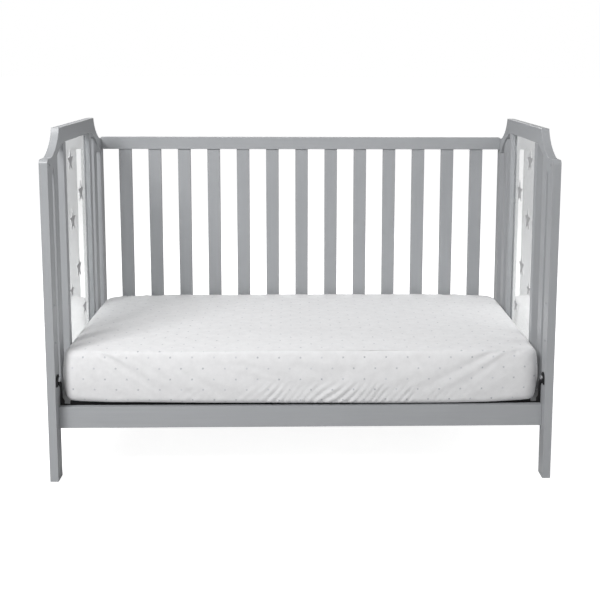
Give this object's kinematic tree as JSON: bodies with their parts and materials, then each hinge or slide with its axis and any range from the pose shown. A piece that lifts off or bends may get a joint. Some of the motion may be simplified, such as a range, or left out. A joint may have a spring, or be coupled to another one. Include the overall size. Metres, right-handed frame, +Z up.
{
  "type": "baby crib",
  "caption": "Convertible slatted baby crib in day-bed form, open at the front, with clear end panels, a liftable mattress support and a mattress in a fitted sheet.",
  "frame": {"origin": "on the floor, under the middle of the crib's bounding box", "axes": "+X along the crib towards its right-hand end seen from the front, +Y from the open front to the slatted back, +Z up"},
  "size_m": [1.375, 0.77, 0.958],
  "materials": {
    "grey_paint": "satin grey paint on solid wood",
    "clear_acrylic": "clear, polished",
    "zinc_bolt": "bright zinc plate",
    "black_steel": "black powder coat",
    "mattress_foam": "white quilted ticking over foam",
    "sheet_cotton": "white woven cotton with a small grey print"
  },
  "bodies": {
    "frame": {"front_left_post": "grey_paint", "rear_left_post": "grey_paint", "front_right_post": "grey_paint", "rear_right_post": "grey_paint", "left_front_slat": "grey_paint", "left_front_stile": "grey_paint", "left_rear_slat": "grey_paint", "left_rear_stile": "grey_paint", "left_crest_rail": "grey_paint", "left_bottom_rail": "grey_paint", "right_front_slat": "grey_paint", "right_front_stile": "grey_paint", "right_rear_slat": "grey_paint", "right_rear_stile": "grey_paint", "right_crest_rail": "grey_paint", "right_bottom_rail": "grey_paint", "front_rail": "grey_paint", "back_top_rail": "grey_paint", "back_bottom_rail": "grey_paint", "back_slat_01": "grey_paint", "back_slat_02": "grey_paint", "back_slat_03": "grey_paint", "back_slat_04": "grey_paint", "back_slat_05": "grey_paint", "back_slat_06": "grey_paint", "back_slat_07": "grey_paint", "back_slat_08": "grey_paint", "back_slat_09": "grey_paint", "back_slat_10": "grey_paint", "back_slat_11": "grey_paint", "back_slat_12": "grey_paint", "back_slat_13": "grey_paint", "left_clear_panel": "clear_acrylic", "right_clear_panel": "clear_acrylic", "left_front_rail_bolt_lower": "zinc_bolt", "left_front_rail_bolt_upper": "zinc_bolt", "left_back_bottom_rail_bolt": "zinc_bolt", "left_back_top_rail_bolt": "zinc_bolt", "right_front_rail_bolt_lower": "zinc_bolt", "right_front_rail_bolt_upper": "zinc_bolt", "right_back_bottom_rail_bolt": "zinc_bolt", "right_back_top_rail_bolt": "zinc_bolt", "hanger_bolt_front_left": "zinc_bolt", "hanger_bolt_rear_left": "zinc_bolt", "hanger_bolt_front_right": "zinc_bolt", "hanger_bolt_rear_right": "zinc_bolt"},
    "support": {"support_front_bar": "black_steel", "support_rear_bar": "black_steel", "support_left_bar": "black_steel", "support_right_bar": "black_steel", "support_deck": "black_steel", "hanger_front_left": "black_steel", "hanger_rear_left": "black_steel", "hanger_front_right": "black_steel", "hanger_rear_right": "black_steel"},
    "mattress": {"mattress_core": "mattress_foam", "fitted_sheet": "sheet_cotton"}
  },
  "joints": [
    {"name": "support_lift", "type": "slide", "parent": "frame", "child": "support", "axis": [0, 0, 1], "range_m": [0, 0.207]},
    {"name": "mattress_lift", "type": "slide", "parent": "support", "child": "mattress", "axis": [0, 0, 1], "range_m": [0, 0.76]}
  ]
}
